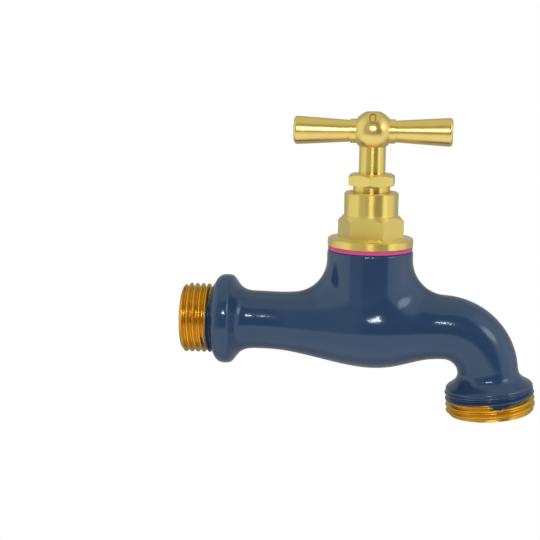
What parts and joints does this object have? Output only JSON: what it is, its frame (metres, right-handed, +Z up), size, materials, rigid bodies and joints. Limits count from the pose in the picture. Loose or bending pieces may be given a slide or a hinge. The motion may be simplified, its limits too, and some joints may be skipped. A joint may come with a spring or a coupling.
{
  "type": "wall-mounted faucet",
  "caption": "Wall bib tap with a lacquered cast body, screwed inlet, hose-thread spout, brass headwork and T-handle.",
  "frame": {"origin": "inlet axis at the back face of the collar", "axes": "+X from the wall to the spout, +Z up along the spindle, -X the way the inlet thread leaves the tap"},
  "size_m": [0.1061, 0.0282, 0.0897],
  "materials": {
    "lacquered_brass": "gloss lacquer over cast brass",
    "turned_brass": "fine turned",
    "forged_brass": "satin forged",
    "fibre": "pressed fibre",
    "packing": "greased plaited yarn",
    "rubber": "moulded"
  },
  "bodies": {
    "tap_body": {"body": "lacquered_brass", "bonnet_gasket": "fibre", "bonnet": "turned_brass", "packing_washer": "turned_brass", "stem_packing": "packing", "gland_ring": "turned_brass", "gland_screw": "turned_brass"},
    "valve": {"valve_disc": "turned_brass", "valve_washer": "rubber", "washer_plate": "turned_brass", "washer_nut": "turned_brass"},
    "spindle_and_handle": {"spindle": "turned_brass", "handle": "forged_brass"}
  },
  "joints": [
    {"name": "valve_lift", "type": "slide", "parent": "tap_body", "child": "valve", "axis": [0, 0, 1], "range_m": [0, 0.00601]},
    {"name": "handle_turn", "type": "hinge", "parent": "valve", "child": "spindle_and_handle", "pos_m": [0.0463, 0, 0], "axis": [0, 0, 1], "range_deg": [0, 720]}
  ],
  "couplings": [
    {"joint": "valve_lift", "follows": "handle_turn", "m_per_rad": 0.00047746}
  ]
}
